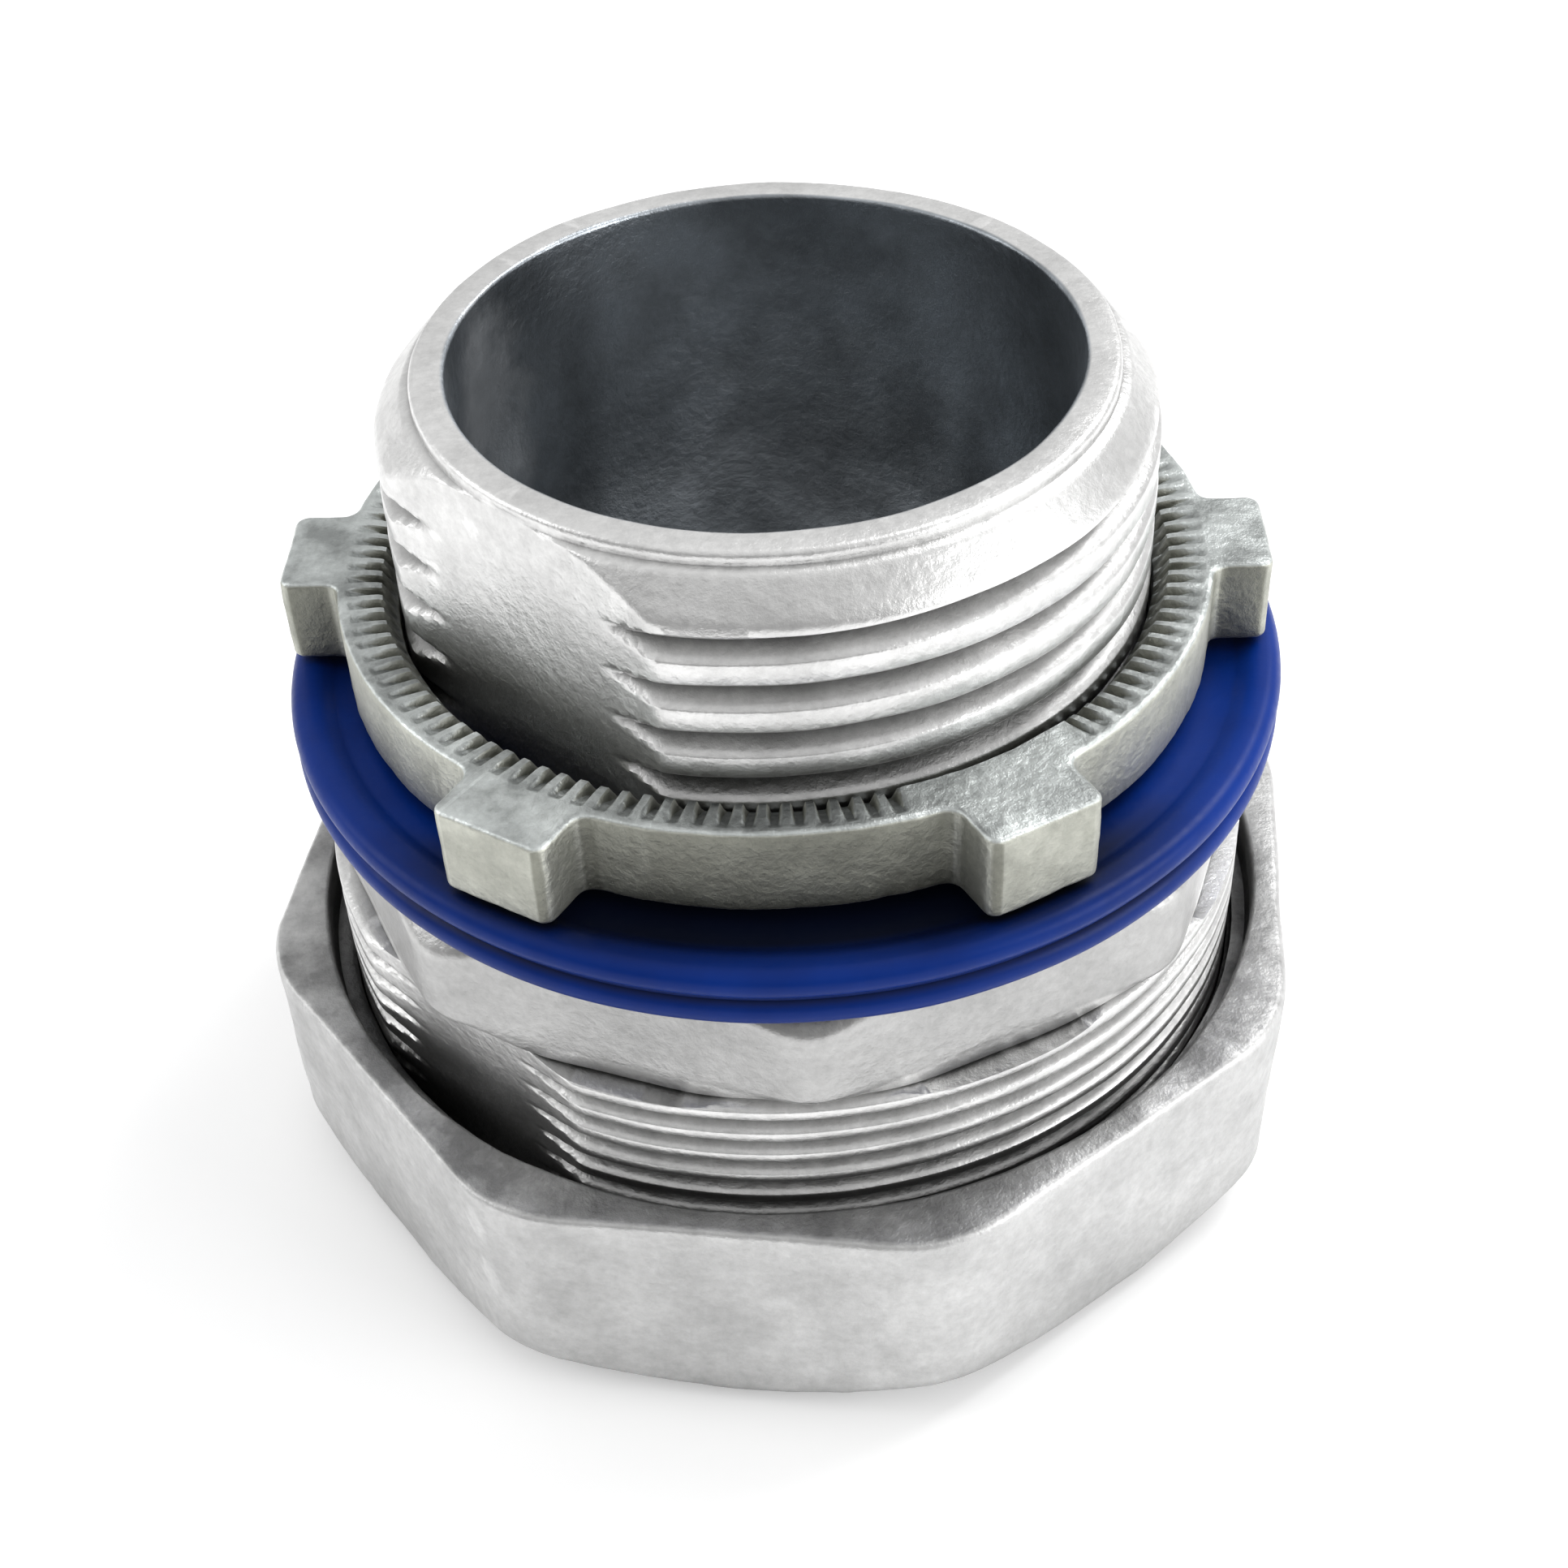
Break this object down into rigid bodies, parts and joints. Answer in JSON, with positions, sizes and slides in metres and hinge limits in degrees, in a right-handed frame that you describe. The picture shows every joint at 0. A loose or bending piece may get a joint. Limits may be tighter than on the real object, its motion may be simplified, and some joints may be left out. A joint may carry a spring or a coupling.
{
  "type": "conduit compression connector",
  "caption": "Straight threadless conduit-to-box connector: threaded hub with locknut and sealing ring, octagonal shoulder, and a compression nut over a split gripping ring.",
  "frame": {"origin": "centre of the compression nut's end face, at the bottom of the part", "axes": "+Z along the conduit axis, from the conduit side towards the threaded hub; -Y is the front"},
  "size_m": [0.04, 0.04, 0.0325],
  "materials": {
    "cast_zinc": "bare zinc die casting, satin, slightly mottled",
    "plated_zinc": "plated zinc die casting, satin, faintly green",
    "blue_seal": "moulded blue thermoplastic, semi-gloss",
    "ring_steel": "zinc-plated steel",
    "black_rubber": "matt moulded rubber"
  },
  "bodies": {
    "body": {"body": "cast_zinc"},
    "sealing_ring": {"sealing_ring": "blue_seal"},
    "locknut": {"locknut": "plated_zinc"},
    "gland_pack": {"compression_ring": "ring_steel", "gasket": "black_rubber", "slip_washer": "ring_steel"},
    "compression_nut": {"compression_nut": "cast_zinc"}
  },
  "joints": [
    {"name": "locknut_turn", "type": "hinge", "parent": "body", "child": "sealing_ring", "pos_m": [0, 0, 0.02], "axis": [0, 0, 1], "range_deg": [-36, 1800]},
    {"name": "locknut_climb", "type": "slide", "parent": "sealing_ring", "child": "locknut", "axis": [0, 0, 1], "range_m": [-0.0003, 0.0092]},
    {"name": "gland_travel", "type": "slide", "parent": "body", "child": "gland_pack", "axis": [0, 0, 1], "range_m": [-0.0027, 0.0009]},
    {"name": "compression_nut_turn", "type": "hinge", "parent": "gland_pack", "child": "compression_nut", "pos_m": [0, 0, 0.005], "axis": [0, 0, 1], "range_deg": [-900, 288]}
  ],
  "couplings": [
    {"joint": "locknut_climb", "follows": "locknut_turn", "m_per_rad": 0.00028871},
    {"joint": "gland_travel", "follows": "compression_nut_turn", "m_per_rad": 0.00016839}
  ]
}
